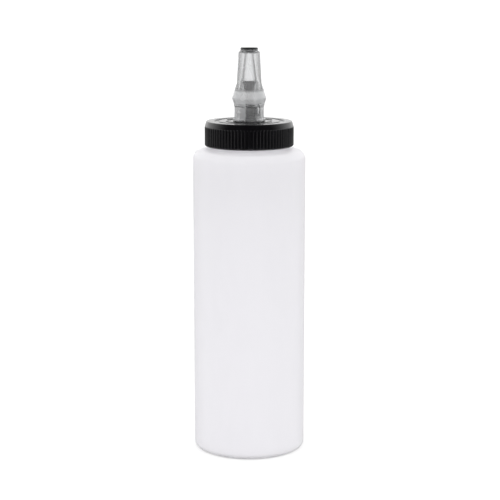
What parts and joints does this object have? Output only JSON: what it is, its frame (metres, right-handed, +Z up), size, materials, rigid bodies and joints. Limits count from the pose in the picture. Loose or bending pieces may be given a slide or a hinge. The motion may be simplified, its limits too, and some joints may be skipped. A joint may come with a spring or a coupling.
{
  "type": "compound dispenser bottle",
  "caption": "Straight cylindrical squeeze bottle with a threaded neck, a ribbed screw cap, a lift-to-open nozzle spout with a central valve pin, and a small tip plug.",
  "frame": {"origin": "on the bottle's axis, at the surface that it stands on", "axes": "+Z up along the bottle's axis, -Y towards the viewer of the picture, +X to their right"},
  "size_m": [0.05, 0.05, 0.1809],
  "materials": {
    "natural_polyethylene": "translucent natural polyethylene, satin",
    "black_polypropylene": "black moulded polypropylene, glossy",
    "white_foam": "white foamed polyethylene sheet, matte",
    "clear_polypropylene": "natural polypropylene, cloudy and see-through",
    "black_plug": "black moulded polyethylene, satin"
  },
  "bodies": {
    "bottle": {"bottle": "natural_polyethylene"},
    "liner": {"cap_liner": "white_foam"},
    "cap": {"screw_cap": "black_polypropylene"},
    "spout": {"spout": "clear_polypropylene"},
    "plug": {"tip_plug": "black_plug"}
  },
  "joints": [
    {"name": "cap_rise", "type": "slide", "parent": "bottle", "child": "liner", "axis": [0, 0, 1], "range_m": [0, 0.01271]},
    {"name": "cap_turn", "type": "hinge", "parent": "liner", "child": "cap", "pos_m": [0, 0, 0.1437], "axis": [0, 0, 1], "range_deg": [0, 1080]},
    {"name": "spout_lift", "type": "slide", "parent": "cap", "child": "spout", "axis": [0, 0, 1], "range_m": [0, 0.0032]},
    {"name": "tip_pull", "type": "slide", "parent": "spout", "child": "plug", "axis": [0, 0, 1], "range_m": [0, 0.01]}
  ],
  "couplings": [
    {"joint": "cap_rise", "follows": "cap_turn", "m_per_rad": 0.00067375}
  ]
}
